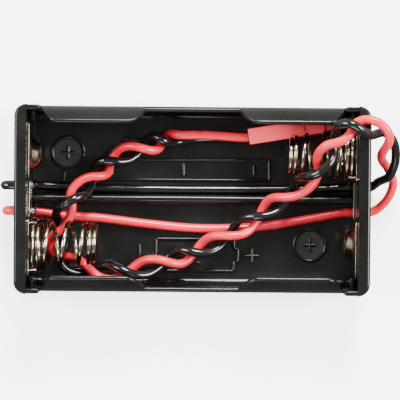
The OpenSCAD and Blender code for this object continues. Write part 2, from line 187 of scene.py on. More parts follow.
def add_tube_map(piece: Object, travel: Array, sides: int) -> None:
    """Give a tube a UV map: U is the length along it in metres and V its turn from 0 to 1.

    Args:
        piece: the tube, whose quads come first.
        travel: length along the path at each ring.
        sides: number of points round the tube.
    """
    mesh = piece.data
    index = np.empty(len(mesh.loops), int)
    mesh.loops.foreach_get("vertex_index", index)
    ring, step = index // sides, index % sides
    quads = (len(travel) - 1) * sides
    corner = np.arange(len(index))
    # The two far corners of a ring's last quad lie at turn 1, not at turn 0.
    wraps = (corner < 4 * quads) & np.isin(corner % 4, (1, 2)) & (step == 0)
    uv = np.stack([travel[ring], np.where(wraps, 1.0, step / sides)], axis=1)
    mesh.uv_layers.new(name="run").data.foreach_set("uv", uv.astype(np.float32).ravel())


def curve_through(points: Array, u: Array) -> Array:
    """Smooth curve through points, cubic between each two with slopes from their neighbours.

    Args:
        points: the points, one a row.
        u: places on the curve, 0 at the first point and one more at each next.

    Returns:
        A point for each place.
    """
    last = len(points) - 1
    i = np.clip(np.floor(u).astype(int), 0, last - 1)
    f = (u - i)[:, None]
    a, b = points[np.maximum(i - 1, 0)], points[i]
    c, d = points[i + 1], points[np.minimum(i + 2, last)]
    return 0.5 * (
        2 * b + (c - a) * f + (2 * a - 5 * b + 4 * c - d) * f**2 + (3 * b - a - 3 * c + d) * f**3
    )


def even(path: Array, step: float) -> Array:
    """Space the points of a path evenly, about a step apart, on the lines between the old ones."""
    travel = travelled(path)
    wanted = np.linspace(0, travel[-1], max(2, round(travel[-1] / step) + 1))
    return np.stack([np.interp(wanted, travel, path[:, k]) for k in range(3)], axis=1)


@contextmanager
def edited(mesh: Mesh) -> Iterator[bmesh.types.BMesh]:
    """Open a mesh for editing and write it back at the end."""
    form = bmesh.new()
    form.from_mesh(mesh)
    yield form
    form.to_mesh(mesh)
    form.free()


def round_edges(form: bmesh.types.BMesh, edges: list, radius: float, segments: int) -> None:
    """Round some edges of a form over a radius, in a number of steps."""
    bmesh.ops.bevel(
        form,
        geom=edges,
        offset=radius,
        offset_type="OFFSET",
        segments=segments,
        profile=0.5,
        affect="EDGES",
        clamp_overlap=False,
    )


def finished_copy(node: str, name: str, width: float, segments: int) -> Object:
    """Copy a CAD node, join its loose triangles and round its edges sharper than 28 degrees.

    Args:
        node: name of the CAD node.
        name: name of the new piece.
        width: width of the rounded edge.
        segments: number of steps across the rounded edge.

    Returns:
        The new piece.
    """
    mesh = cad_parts[node].data.copy()
    mesh.name = name
    mesh.materials.clear()
    with edited(mesh) as form:
        bmesh.ops.remove_doubles(form, verts=form.verts, dist=SAME_POINT)
        closed = [e for e in form.edges if len(e.link_faces) == 2]
        edges = [e for e in closed if e.calc_face_angle(0) > radians(28)]
        round_edges(form, edges, width, segments)
        bmesh.ops.triangulate(form, faces=[f for f in form.faces if len(f.verts) > 4])
    piece = placed(name, mesh)
    shade(piece, crease=50)
    return piece


def applied(piece: Object) -> None:
    """Apply all the modifiers of a piece to its mesh."""
    depsgraph = bpy.context.evaluated_depsgraph_get()
    mesh = bpy.data.meshes.new_from_object(piece.evaluated_get(depsgraph))
    piece.modifiers.clear()
    piece.data = mesh


def shade(piece: Object, crease: float) -> None:
    """Shade a piece smoothly, with flat faces flat and edges over the crease angle sharp."""
    mesh = piece.data
    mesh.polygons.foreach_set("use_smooth", np.full(len(mesh.polygons), True))
    mesh.set_sharp_from_angle(angle=radians(crease))
    weighting = piece.modifiers.new("flat_faces", "WEIGHTED_NORMAL")
    weighting.mode, weighting.keep_sharp = "FACE_AREA", True
    applied(piece)


def joined(parts: list[Object], name: str) -> Object:
    """Join parts at the origin, which are used up, into one new piece."""
    form = bmesh.new()
    for part in parts:
        form.from_mesh(part.data)
        bpy.data.objects.remove(part)
    mesh = bpy.data.meshes.new(name)
    form.to_mesh(mesh)
    form.free()
    return placed(name, mesh)


# ---- Finishes ----

# A Mix node has its sockets once for each kind of data under the same names, so they go by number.
NUMBER_A, NUMBER_B, NUMBER_OUT = 2, 3, 0
COLOUR_A, COLOUR_B, COLOUR_OUT = 6, 7, 2

# The noise behind the patches and behind the grain.
PATCH_NOISE = {"Detail": 4.0, "Roughness": 0.6}
GRAIN_NOISE = {"Detail": 3.0, "Roughness": 0.55}
# The span of the patch noise over which the second colour and the second roughness come in.
TINT_SPAN, ROUGH_SPAN = (0.3, 0.75), (0.35, 0.75)
# Along a wire, one turn round it counts as this length in the noise.
TURN_LENGTH = 2 * MM
# How far light travels under the surface of a plastic that scatters some.
SCATTER_LENGTH = 0.6 * MM


class Pattern(Enum):
    """Which coordinates a finish reads."""

    BODY = "Object"
    ALONG = "UV"


@dataclass(frozen=True)
class Finish:
    """A finish made of a base colour that drifts, a roughness that drifts and a fine relief.

    Args:
        name: the material's name, after the real material and how it was made.
        colour: base colour.
        colour_worn: colour of the patches where it is paler, dusty or rubbed.
        worn_share: how strongly the patches show.
        roughness: roughness of the clean surface.
        roughness_spread: how far the roughness drifts up in patches.
        patch: size of the patches in millimetres.
        grain: size of the relief's grain in millimetres.
        relief: height of the relief in millimetres.
        metallic: one for a bare metal.
        stretch: how many times longer the grain is along X or along a wire.
        ior: index of refraction of a plastic.
        subsurface: share of light scattered under the surface.
        pattern: which coordinates the patterns read.
    """

    name: str
    colour: str
    colour_worn: str
    worn_share: float
    roughness: float
    roughness_spread: float
    patch: float
    grain: float
    relief: float
    metallic: float = 0.0
    stretch: float = 1.0
    ior: float = 1.5
    subsurface: float = 0.0
    pattern: Pattern = Pattern.BODY

    def material(self) -> Material:
        """Make the material with its nodes, or give the one already made."""
        made = bpy.data.materials.get(self.name)
        if made:
            return made
        made = bpy.data.materials.new(self.name)
        made.use_nodes = True
        tree = made.node_tree
        tree.nodes.clear()
        add = partial(add_node, tree)
        place = add("TexCoord")[self.pattern.value]
        turn = TURN_LENGTH if self.pattern is Pattern.ALONG else 1.0

        def noise(size: float, stretch: float, settings: dict) -> NodeSocket:
            """Noise of a size, stretched along X or along a wire."""
            scale = {"Scale": (1 / stretch, turn, 1)}
            scaled = add("Mapping", scale, {"Vector": place})["Vector"]
            settings = settings | {"Scale": 1 / (size * MM)}
            return add("TexNoise", settings, {"Vector": scaled})["Fac"]

        patches = noise(self.patch, 1.0, PATCH_NOISE)
        grain = noise(self.grain, self.stretch, GRAIN_NOISE)
        colours = {COLOUR_A: linear(self.colour), COLOUR_B: linear(self.colour_worn)}
        share = ranged(tree, patches, TINT_SPAN, (0.0, self.worn_share))
        tint = add("Mix", {"data_type": "RGBA"} | colours, {"Factor": share})
        roughest = self.roughness + self.roughness_spread
        rough = ranged(tree, patches, ROUGH_SPAN, (self.roughness, roughest))
        height = {"Strength": 1.0, "Distance": self.relief * MM}
        bump = add("Bump", height, {"Height": grain})
        shader = add(
            "BsdfPrincipled",
            {
                "Metallic": self.metallic,
                "IOR": self.ior,
                "Subsurface Weight": self.subsurface,
                "Subsurface Scale": SCATTER_LENGTH,
            },
            {"Base Color": tint[COLOUR_OUT], "Roughness": rough, "Normal": bump["Normal"]},
        )
        add("OutputMaterial", links={"Surface": shader["BSDF"]})
        return made

    def dress(self, piece: Object, slot: str, node: str = "") -> None:
        """Give a piece this finish and let it ride with the body.

        Args:
            piece: a new piece or a CAD node's object.
            slot: the record's material slot; not used.
            node: the CAD node that a new piece stands for.
        """
        piece.data.materials.clear()
        piece.data.materials.append(self.material())
        if piece.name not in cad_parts:
            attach(piece, "root")
        if node:
            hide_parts(node)
        LOG.info("%s is dressed in %s", piece.name, self.name)


# Moulded ABS from a polished tool: a deep black with a clear but slightly wavy gloss, and a faint
# grey film of dust and rubs that lifts the black a little.
MOULDED_ABS = Finish(
    "black_abs_moulded", colour="0c0c0b", colour_worn="1d1e1b", worn_share=0.55,
    roughness=0.14, roughness_spread=0.18, ior=1.36,
    patch=11, grain=0.5, relief=0.006,
)  # fmt: skip
# The same ABS where the tool was spark-eroded: a satin black that looks a little paler.
ETCHED_ABS = Finish(
    "black_abs_etched", colour="10100f", colour_worn="20211e", worn_share=0.5,
    roughness=0.42, roughness_spread=0.1,
    patch=3, grain=0.2, relief=0.01,
)  # fmt: skip
# Nickel plate on rolled spring steel strip: a warm grey metal with a fine grain and duller patches.
NICKEL_STRIP = Finish(
    "nickel_plate_rolled", colour="a79d8a", colour_worn="6e6452", worn_share=0.7,
    roughness=0.12, roughness_spread=0.1, metallic=1.0,
    patch=2.5, grain=0.12, relief=0.003,
)  # fmt: skip
# Nickel plate on drawn music wire: warm and bright, with faint draw lines and dark brown patches.
NICKEL_WIRE = Finish(
    "nickel_plate_drawn_wire", colour="beb49e", colour_worn="584c38", worn_share=0.8,
    roughness=0.12, roughness_spread=0.12, metallic=1.0, stretch=6.0, pattern=Pattern.ALONG,
    patch=1.6, grain=0.3, relief=0.004,
)  # fmt: skip
# Soft PVC insulation, extruded: a strong red with a satin skin that scatters a little light.
RED_PVC = Finish(
    "red_pvc_extruded", colour="d61c2e", colour_worn="dd3a48", worn_share=0.4,
    roughness=0.26, roughness_spread=0.12, ior=1.53, subsurface=0.06, stretch=8.0,
    patch=6, grain=0.5, relief=0.012, pattern=Pattern.ALONG,
)  # fmt: skip
# The same insulation in black: near black and glossier, with clear glints on its crowns.
BLACK_PVC = replace(
    RED_PVC, name="black_pvc_extruded", colour="0d0d0d", colour_worn="1f1f1e", worn_share=0.5,
    roughness=0.09, roughness_spread=0.08, subsurface=0.0, relief=0.01,
)  # fmt: skip
# Nylon, moulded: a bright coral red that light enters a little way, with a satin skin.
CORAL_NYLON = Finish(
    "coral_nylon_moulded", colour="ff4b54", colour_worn="ff6a72", worn_share=0.25,
    roughness=0.34, roughness_spread=0.1, ior=1.53, subsurface=0.18,
    patch=4, grain=0.25, relief=0.006,
)  # fmt: skip
# Tin plate on stamped brass: a soft grey metal with a hint of yellow.
TIN_PLATE = Finish(
    "tin_plate_stamped", colour="c8c2b0", colour_worn="a1936f", worn_share=0.5,
    roughness=0.28, roughness_spread=0.14, metallic=1.0,
    patch=1.5, grain=0.15, relief=0.004,
)  # fmt: skip
# Solder, melted and set: a rounded bead, bright where it flowed and dull where it froze last.
SOLDER = Finish(
    "tin_lead_solder_set", colour="9a9a97", colour_worn="5f5f5b", worn_share=0.6,
    roughness=0.16, roughness_spread=0.2, metallic=1.0,
    patch=0.8, grain=0.25, relief=0.012,
)  # fmt: skip


# ---- Camera and light ----


@dataclass(frozen=True)
class Lamp:
    """A round soft lamp that points at the tray.

    Args:
        name: the lamp's name.
        place: where it stands.
        size: its diameter.
        power: its power in watts.
    """

    name: str
    place: Point
    size: float
    power: float

    def build(self, aim: Vector) -> None:
        """Make the lamp and turn it to a point."""
        data = bpy.data.lights.new(self.name, "AREA")
        data.shape, data.size, data.energy = "DISK", self.size, self.power
        facing = (Vector(self.place) - aim).to_track_quat("Z", "Y").to_matrix().to_4x4()
        placed(self.name, data).matrix_world = Matrix.Translation(self.place) @ facing


@dataclass(frozen=True)
class Studio:
    """Camera straight above the tray, a white floor, four soft lamps and a surround.

    Args:
        target: the point in the middle of the frame.
        eye: place of the camera.
        roll: how far the tray is turned clockwise in the frame, in radians.
        lens: focal length in millimetres.
        sensor: width of the camera's sensor in millimetres.
        floor_half: half the side of the floor.
        floor_z: height of the floor.
        floor_glow: light that the floor gives off, as a lit table does.
        lamps: a broad lamp behind the tray, one at each end and a weak one in front.
        lamp_aim: the point that the lamps point at.
        sky_dim: strength of the surround overhead and in front.
        sky_bright: strength of the surround low behind the tray and at its ends.
        sky_below: share of that strength in what gloss shows of the ground.
        front_to_back: Y of a direction over which the surround brightens.
        low_to_high: Z of a direction over which the bright surround fades.
        horizon: Z of a direction down to which the surround darkens from 0.
    """

    target: Point = (1.235 * MM, 0.07 * MM, 15 * MM)
    eye: Point = (0.0, 6.0 * MM, 315 * MM)
    roll: float = 0.0082
    lens: float = 166.22
    sensor: float = 36.0
    floor_half: float = 1.5
    floor_z: float = -0.03 * MM
    floor_glow: float = 2.6
    lamps: tuple[Lamp, ...] = (
        Lamp("key", (0.1, 0.78, 0.7), 0.36, 29.0),
        Lamp("left_end", (-0.75, 0.15, 0.65), 0.5, 13.0),
        Lamp("right_end", (0.75, 0.1, 0.65), 0.5, 22.0),
        Lamp("front", (-0.2, -0.8, 0.55), 0.5, 5.0),
    )
    lamp_aim: Point = (0.0, 0.0, 8 * MM)
    sky_dim: float = 0.36
    sky_bright: float = 1.4
    sky_below: float = 0.42
    front_to_back: Span = (-0.55, 0.15)
    low_to_high: Span = (0.1, 0.65)
    horizon: float = -0.12

    def build(self) -> None:
        """Make the camera, the floor, the lamps and the surround."""
        self.camera()
        self.floor()
        for lamp in self.lamps:
            lamp.build(Vector(self.lamp_aim))
        self.sky()

    def camera(self) -> None:
        """Make the camera: its up direction leans by the roll."""
        data = bpy.data.cameras.new("camera")
        data.sensor_width, data.lens, data.clip_start = self.sensor, self.lens, 1 * MM
        eye, target = Vector(self.eye), Vector(self.target)
        back = (eye - target).normalized()
        right = Vector((-self.roll, 1.0, 0.0)).cross(back).normalized()
        turn = Matrix((right, back.cross(right), back)).transposed().to_4x4()
        camera = placed("camera", data)
        camera.matrix_world = Matrix.Translation(eye) @ turn
        bpy.context.scene.camera = camera

    def floor(self) -> None:
        """Make the white floor, a hair below the tray's underside so that the two stay apart."""
        half, z = self.floor_half, self.floor_z
        corners = np.array([(-half, -half, z), (half, -half, z), (half, half, z), (-half, half, z)])
        floor = mesh_piece("floor", corners, [(0, 1, 2, 3)], smooth=False)
        card = bpy.data.materials.new("white_card")
        card.use_nodes = True
        card.node_tree.nodes.clear()
        shader = add_node(
            card.node_tree,
            "BsdfPrincipled",
            {
                "Base Color": linear("fafafa"),
                "Roughness": 0.9,
                "Specular IOR Level": 0.1,
                "Emission Color": linear("ffffff"),
                "Emission Strength": self.floor_glow,
            },
        )
        links = {"Surface": shader["BSDF"]}
        add_node(card.node_tree, "OutputMaterial", links=links)
        floor.data.materials.append(card)
        # The card is kept out of the gloss, so that black plastic stays black beside it, as it does
        # when dark cards stand round a glossy object.
        floor.visible_glossy = False

    def sky(self) -> None:
        """Make the surround: bright low behind and at both ends, dim overhead and in front."""
        world = bpy.data.worlds.new("studio")
        bpy.context.scene.world = world
        world.use_nodes = True
        background = world.node_tree.nodes["Background"]
        background.inputs["Color"].default_value = linear("ffffff")
        add = partial(add_node, world.node_tree)
        span = partial(ranged, world.node_tree)
        place = add("TexCoord")["Generated"]
        direction = add("SeparateXYZ", links={"Vector": place})
        strengths = (self.sky_dim, self.sky_bright)
        behind = span(direction["Y"], self.front_to_back, strengths, "SMOOTHSTEP")
        height = span(direction["Z"], self.low_to_high, kind="SMOOTHSTEP")
        strength = add(
            "Mix", {NUMBER_B: self.sky_dim}, {"Factor": height, NUMBER_A: behind}
        )[NUMBER_OUT]
        ground = span(direction["Z"], (self.horizon, 0.0), (self.sky_below, 1.0))
        total = add("Math", {"operation": "MULTIPLY"}, {0: strength, 1: ground})
        world.node_tree.links.new(total["Value"], background.inputs["Strength"])


@dataclass(frozen=True)
class Holder:
    """Sizes in millimetres that several parts of the holder share.

    Args:
        half_l: half the length over the end walls.
        pocket_x: inner face of the end walls.
        floor_z: top of the floor.
        axis_y: middle of a cell.
        axis_z: height of the middle of a cell.
        lead: diameter of a lead over its insulation.
        hole_y: distance of the lead holes from the middle.
        hole_z: height of the lower lead holes.
    """

    half_l: float = 29.1
    pocket_x: float = 27.1
    floor_z: float = 1.2
    axis_y: float = 7.3
    axis_z: float = 8.5
    lead: float = 1.5
    hole_y: float = 2.15
    hole_z: float = 2.0


# ---- Leads ----


@dataclass(frozen=True)
class Leads(Holder):
    """What the free and the held leads share.

    In every method, sign is 1 for the black lead and -1 for the red one.

    Args:
        spacing: distance between two points of a finished path.
    """

    spacing: float = 0.35

    def make(self, colour: str, kind: str, node: str, path: Array) -> Object:
        """Make and dress a red or black lead of a kind that stands for a CAD node."""
        lead = tube(f"{colour}_{kind}_lead", path, self.lead / 2 * MM, LEAD_SIDES, (0, 1, 0))
        finish = RED_PVC if colour == "red" else BLACK_PVC
        finish.dress(lead, f"{colour}_insulation", node)
        return lead


@dataclass(frozen=True)
class TwistedLeads(Leads):
    """The free red and black leads: out of the end wall, twisted together, back into the plug.

    Args:
        stub: how far a lead goes straight out of its hole.
        twist_side: sideways radius of the twist.
        twist_up: upright radius of the twist.
        pair: the pair crosses itself at each point, black above first, then red above.
        pair_start: where the pair forms.
        starts: the red and the black lead between its hole and the pair.
        ends: the red and the black lead between the pair and the plug.
        plug_at: middle of the plug's rear face.
        plug_turn: turn of the plug about Z, in degrees.
        plug_tilt: rise of the plug, in degrees.
        plug_pitch: distance between the plug's two ways.
    """

    stub: float = 0.8
    twist_side: float = 1.2
    twist_up: float = 1.15
    pair: tuple = (
        (32.5, 5, 7.2), (31.35, 10.7, 14.8), (26, 12.3, 17), (22.8, 9.7, 15.2), (20.2, 4.8, 13.4),
        (15.9, 0.9, 7.6), (11.2, -2.6, 5.4), (6.2, -6, 4.4), (0.5, -8.9, 3.4), (-4.5, -10.5, 3.25),
        (-10.8, -12.4, 3.25), (-17, -12.1, 3.25), (-22.3, -9.9, 3.15), (-22.5, -5.3, 3.1),
        (-20.4, -0.4, 6.4), (-16.6, 3.4, 3.8), (-13.8, 6.3, 3.25), (-8.6, 8.5, 3.25),
        (-5.2, 9.9, 3.25),
    )  # fmt: skip
    pair_start: tuple = (32.6, 3.2, 4)
    starts: tuple = (((31.6, -1.3, 2.1), (33.2, 0.6, 2.7)), ((30.4, 2.3, 2.1),))
    ends: tuple = (
        ((-3.7, 10.95, 3.1), (-2, 10.75, 4.4), (2.5, 10.75, 4.9)),
        ((-3.9, 9.35, 3.5), (-2.2, 9.6, 2.4), (0.5, 10.2, 2.1), (4.5, 10.4, 2.6)),
    )
    plug_at: tuple = (9.4, 10.55, 3.9)
    plug_turn: float = 9.3
    plug_tilt: float = 1.5
    plug_pitch: float = 2.0

    def twisted(self, sign: int) -> Array:
        """Path of one lead in the pair, in millimetres, with 12 points from crossing to crossing.

        At place u the lead lies off the pair's middle by sign * (up-radius * cos(180 u) * up +
        side-radius * sin(180 u) * right), with up and right square to the pair's direction.
        """
        points = np.array(self.pair, float)
        last = len(points) - 1
        u = np.linspace(0, last, 12 * last + 1)
        reach = 0.05  # of a crossing, to either side, gives the pair's direction
        ahead = curve_through(points, np.minimum(u + reach, last))
        behind = curve_through(points, np.maximum(u - reach, 0))
        along = unit(ahead - behind)
        up = unit(np.array([0, 0, 1.0]) - along[:, 2:] * along)
        right = np.cross(along, up)
        lift = self.twist_up * np.cos(np.pi * u)[:, None] * up
        swing = self.twist_side * np.sin(np.pi * u)[:, None] * right
        return curve_through(points, u) + sign * (lift + swing)

    def route(self, sign: int) -> Array:
        """Path of one free lead from its hole to the plug, evenly spaced and in metres."""
        hole = np.array([self.half_l, sign * self.hole_y, self.hole_z])
        start, end = self.starts[sign > 0], self.ends[sign > 0]
        forming = np.array(self.pair_start) - [sign * self.twist_side, 0, 0]
        turn, tilt = radians(self.plug_turn), radians(self.plug_tilt)
        flat, rise = np.array([np.cos(turn), np.sin(turn), 0.0]), np.array([0.0, 0.0, 1.0])
        axis = np.cos(tilt) * flat + np.sin(tilt) * rise
        up = np.cos(tilt) * rise - np.sin(tilt) * flat
        way = np.array(self.plug_at) - sign * self.plug_pitch / 2 * up
        twist = self.twisted(sign)
        # Each end runs on to a point inside the twist, so that the two meet without a kink.
        lead_in = np.array([hole, hole + [self.stub, 0, 0], *start, forming, *twist[[0, 4]]])
        lead_out = np.array([*twist[[-5, -1]], *end, way - axis, way])
        first = curve_through(lead_in, np.linspace(0, len(lead_in) - 2, 60))
        final = curve_through(lead_out, np.linspace(1, len(lead_out) - 1, 60))
        return even(np.concatenate([first[:-1], twist, final[1:]]), self.spacing) * MM

    def build(self, plug_pieces: list[Object]) -> None:
        for colour, sign in (("red", -1), ("black", 1)):
            path = self.route(sign)
            lead = self.make(colour, "free", f"{colour}_lead", path)


@dataclass(frozen=True)
class HeldLeads(Leads):
    """The leads inside the tray: solder ear, bow outside the left end wall, run along the floor.

    Args:
        bow: upper half of the bow, as X from the wall's outer face and fall from the upper hole;
            the lower half mirrors it.
        tops: height of the red and of the black lead's upper hole.
        runs: shares of the length and of the swing along the floor, red and black.
        swings: how far the red lead bows out, and the black lead, which is drawn in.
        stub: straight length in the hole of the right end wall.
    """

    spacing: float = 0.4
    bow: tuple = ((0.3, 0.0), (-1.5, 0.25), (-2.0, 1.0))
    tops: Span = (6.4, 9.4)
    runs: tuple = (
        ((-0.97, 0.05), (-0.78, 0.31), (-0.58, 0.42), (-0.28, 0.75), (0.05, 1), (0.42, 0.87),
         (0.67, 0.5), (0.92, 0.05)),
        ((-0.97, 0.05), (-0.6, 0.8), (-0.2, 1), (0.3, 0.9), (0.75, 0.5), (0.92, 0.08)),
    )  # fmt: skip
    swings: Span = (2.85, -0.55)
    stub: float = 1.5

    def route(self, sign: int) -> Array:
        """Path of one held lead from its ear to the right end wall, evenly spaced, in metres."""
        top, run, swing = (pair[sign > 0] for pair in (self.tops, self.runs, self.swings))
        y, low = sign * self.hole_y, self.hole_z
        ear = [(-self.pocket_x, y, top)]
        fall = [(x - self.half_l, y, top - drop) for x, drop in self.bow]
        rise = [(x - self.half_l, y, low + drop) for x, drop in self.bow[::-1]]
        floor = [(a * self.pocket_x, sign * (self.hole_y + swing * b), low) for a, b in run]
        end = [(self.half_l - self.stub, y, low), (self.half_l, y, low)]
        points = np.array(ear + fall + rise + floor + end)
        places = np.linspace(0, len(points) - 1, 16 * len(points))
        return even(curve_through(points, places), self.spacing) * MM

    def build(self) -> None:
        """Make both held leads."""
        for colour, sign in (("red", -1), ("black", 1)):
            self.make(colour, "held", f"{colour}_inner_lead", self.route(sign))


# ---- Springs, contacts and plug ----


@dataclass(frozen=True)
class CoilSpring(Holder):
    """A tapered coil spring with a closed first turn and a closed last turn.

    Args:
        wire: diameter of the wire.
        base: outer diameter at the plate.
        tip: outer diameter at the free end.
        length: free length.
        turns: number of turns.
        open_share: share of the turns, in the middle, over which the pitch is open.
        closing: share of the even pitch that the first and last turns keep.
        gap: clearance to the plate.
        plate_x: front face of the plate.
        base_y: middle of the spring at the plate.
        cut_end: share of its radius that the wire keeps at its cut ends.
        steps: number of points in a turn.
    """

    wire: float = 0.7
    base: float = 9.75
    tip: float = 6.3
    length: float = 11.2
    turns: float = 6.5
    open_share: float = 0.5
    closing: float = 0.5
    gap: float = 0.05
    plate_x: float = 26.8
    base_y: float = 7.825
    cut_end: float = 0.7
    steps: int = 40

    def path(self, flip: int) -> Array:
        """Middle line of the wire.

        At share s of the turns the radius goes evenly from base to tip. The rise is the travel
        times closing * s + (1 - closing) * m * m * (3 - 2 m), where m goes from 0 to 1 over the
        open middle of the turns, so both ends are nearly closed.

        Args:
            flip: 1 at the right end and -1 at the left end, which is half a turn about Z.

        Returns:
            Points in metres.
        """
        s = np.linspace(0, 1, round(self.turns * self.steps) + 1)
        angle = 2 * np.pi * self.turns * s
        radius = (self.base - self.wire) / 2 + (self.tip - self.base) / 2 * s
        m = np.clip((s - (1 - self.open_share) / 2) / self.open_share, 0, 1)
        travel = self.length - self.wire - self.gap
        rise = travel * (self.closing * s + (1 - self.closing) * m * m * (3 - 2 * m))
        x = self.plate_x - self.gap - self.wire / 2 - rise
        y = self.base_y + (self.axis_y - self.base_y) * s + radius * np.cos(angle)
        z = self.axis_z + radius * np.sin(angle)
        return np.stack([flip * x, flip * y, z], axis=1) * MM

    def build(self, name: str, node: str, flip: int) -> None:
        """Make the spring that stands for a CAD node, flipped as its path is."""
        path = self.path(flip)
        radius = np.full(len(path), self.wire / 2 * MM)
        radius[[0, -1]] *= self.cut_end
        spring = tube(name, path, radius, WIRE_SIDES, (1, 0, 0))
        NICKEL_WIRE.dress(spring, "spring_wire", node)


@dataclass(frozen=True)
class CadPieces:
    """The pieces that are CAD nodes or copies of them: contacts, solder, plug and crimped contacts.

    Args:
        contact_edge: rounding left by the stamping tool and the plating, in metres.
        plug_edge: rounding of the plug housing's edges, in metres.
    """

    contact_edge: float = 0.05 * MM
    plug_edge: float = 0.12 * MM

    def contacts(self) -> None:
        """Round and dress each contact and dress the solder joints."""
        for node in ("positive_contact", "negative_contact", "link_contact"):
            plate = finished_copy(node, node + "_plate", self.contact_edge, segments=1)
            NICKEL_STRIP.dress(plate, "nickel_sheet", node)
        for node in ("red_solder_joint", "black_solder_joint"):
            SOLDER.dress(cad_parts[node], "solder")

    def plug(self) -> list[Object]:
        """Round and dress the plug, and give the pieces on the far end of the leads."""
        housing = finished_copy("plug_housing", "plug_shell", self.plug_edge, segments=2)
        CORAL_NYLON.dress(housing, "red_plastic", "plug_housing")
        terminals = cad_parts["crimp_terminals"]
        TIN_PLATE.dress(terminals, "tinned_contact")
        return [housing, terminals]


# ---- Tray ----


@dataclass(frozen=True)
class Tray(Holder):
    """The moulded tray: one strip with floor, ridge, side walls and lips, and two end walls.

    Args:
        half_w: half the width over the end walls.
        height: height of the end walls.
        side_y: outer face of a side wall.
        wall: thickness of the side walls and lips.
        trough_r: radius of the trough round a cell.
        foot_r: radius between the floor and a side wall.
        base_r: radius along the bottom edges.
        ridge: thickness of the ridge.
        ridge_top: its height.
        ridge_foot: radius at its foot.
        wraps: angles in degrees up to which the low wall and a lip wrap a cell.
        finger_half: half the finger opening.
        finger_turn: length of a lip's corner beside it.
        wing_turn: length of a lip's corner beside the wing.
        turn_power: power that squares a lip's corner slightly.
        wing_x: where the upright wing beside an end wall starts.
        corner_r: radius of the upright corners.
        edge_r: radius of the end walls' outer edges.
        hole: diameter of the lead holes.
        holes: side and height of each, at the left end and at the right end.
        blocks: lowest corner, highest corner and edge radius of a wing, which stands 0.01 mm proud
            of its wall, of a guide post and of the rib at a contact's foot.
    """

    half_w: float = 15.5
    height: float = 14.9
    side_y: float = 15.4
    wall: float = 0.8
    trough_r: float = 7.3
    foot_r: float = 1.4
    base_r: float = 0.5
    ridge: float = 1.4
    ridge_top: float = 4.0
    ridge_foot: float = 0.2
    wraps: Span = (12.0, 44.0)
    finger_half: float = 7.7
    finger_turn: float = 3.0
    wing_turn: float = 2.7
    turn_power: float = 1.15
    wing_x: float = 25.0
    corner_r: float = 2.0
    edge_r: float = 0.55
    hole: float = 1.8
    holes: tuple = (((-1, 2.0), (1, 2.0), (-1, 6.4), (1, 9.4)), ((-1, 2.0), (1, 2.0)))
    blocks: tuple = (
        ((25.0, 14.59, 7.5), (27.6, 15.41, 14.85), 0.2),
        ((26.1, 12.8, 0.6), (26.7, 15.0, 10.9), 0.1),
        ((26.1, 4.8, 0.6), (26.7, 9.8, 2.0), 0.1),
    )

    def stations(self) -> tuple[Array, Array]:
        """Places along X and the angle that the wall wraps a cell up to at each.

        A lip's corner is a rounded step: at turn t from 0 to 90 degrees it has gone 1 - cos(t) ** p
        of its length and sin(t) ** p of its height, where p is the turn's power.

        Returns:
            X in millimetres from the left end to the right, and angles in radians.
        """
        turn = np.linspace(0, np.pi / 2, 16)
        run = 1 - np.cos(turn) ** self.turn_power
        rise = np.sin(turn) ** self.turn_power
        low, high = map(radians, self.wraps)
        finger = self.finger_half + self.finger_turn * run
        wing = (self.wing_x - self.wing_turn * run)[::-1]
        middle = np.linspace(finger[-1], wing[0], 7)[1:-1]
        # Plain stations stand between the corners, 0.3 mm off the nearest, so that no face is
        # stretched across one. The strip ends inside the end wall.
        inner = np.array([1.5, 4.5, self.finger_half - 0.3])
        outer = np.array([self.wing_x + 0.3, self.pocket_x + self.edge_r])
        x = np.concatenate([inner, finger, middle, wing, outer])
        climb = np.concatenate([0 * inner, rise, 0 * middle + 1, rise[::-1], 0 * outer])
        angle = low + (high - low) * climb
        return np.concatenate([-x[::-1], x]), np.concatenate([angle[::-1], angle])

    def half_section(self, wrap: Array) -> Array:
        """Right half of the section at each station, from the underside round to the ridge's top.

        Args:
            wrap: angle that the wall wraps a cell up to, one a station.

        Returns:
            Y and Z in millimetres: stations, points, two.
        """

        def fixed(points: Array) -> Array:
            """The same points at every station."""
            return np.broadcast_to(points, (len(wrap), *points.shape))

        def arc(y: float, z: float, r: float, start: float, end: float, count: int) -> Array:
            """The same points on a circle about (y, z), between two angles in degrees."""
            turn = np.radians(np.linspace(start, end, count))
            return fixed(np.stack([y + r * np.cos(turn), z + r * np.sin(turn)], axis=1))

        def level(start: float, end: float, z: float, count: int) -> Array:
            """The same evenly spaced points at one height."""
            return fixed(np.column_stack([np.linspace(start, end, count), np.full(count, z)]))

        def wrapped(r: float, shares: Array) -> Array:
            """Points about the cell's middle, at shares of the wrap angle."""
            turn = wrap[:, None] * shares
            y, z = self.axis_y + r * np.cos(turn), self.axis_z + r * np.sin(turn)
            return np.stack([y, z], axis=2)

        share = np.linspace(0, 1, 18)
        # The free edge is half a circle about the middle of the lip's thickness.
        edge = np.linspace(0, np.pi, 11)[1:-1] + wrap[:, None]
        edge = np.stack([np.cos(edge), np.sin(edge)], axis=2) * self.wall / 2
        inner_y, foot, half = self.side_y - self.wall, self.foot_r, self.ridge / 2
        base_y, ridge_y = self.side_y - self.base_r, half + self.ridge_foot
        return np.concatenate(
            [
                level(0, base_y, 0, 8)[:, :-1],
                arc(base_y, self.base_r, self.base_r, -90, 0, 6),
                wrapped(self.trough_r + self.wall, share),
                wrapped(self.trough_r + self.wall / 2, share[-1:]) + edge,
                wrapped(self.trough_r, share[::-1]),
                arc(inner_y - foot, self.floor_z + foot, foot, 0, -90, 9),
                level(inner_y - foot, ridge_y, self.floor_z, 12)[:, 1:-1],
                arc(ridge_y, self.floor_z + self.ridge_foot, self.ridge_foot, -90, -180, 4),
                arc(0, self.ridge_top - half, half, 0, 90, 9),
            ],
            axis=1,
        )

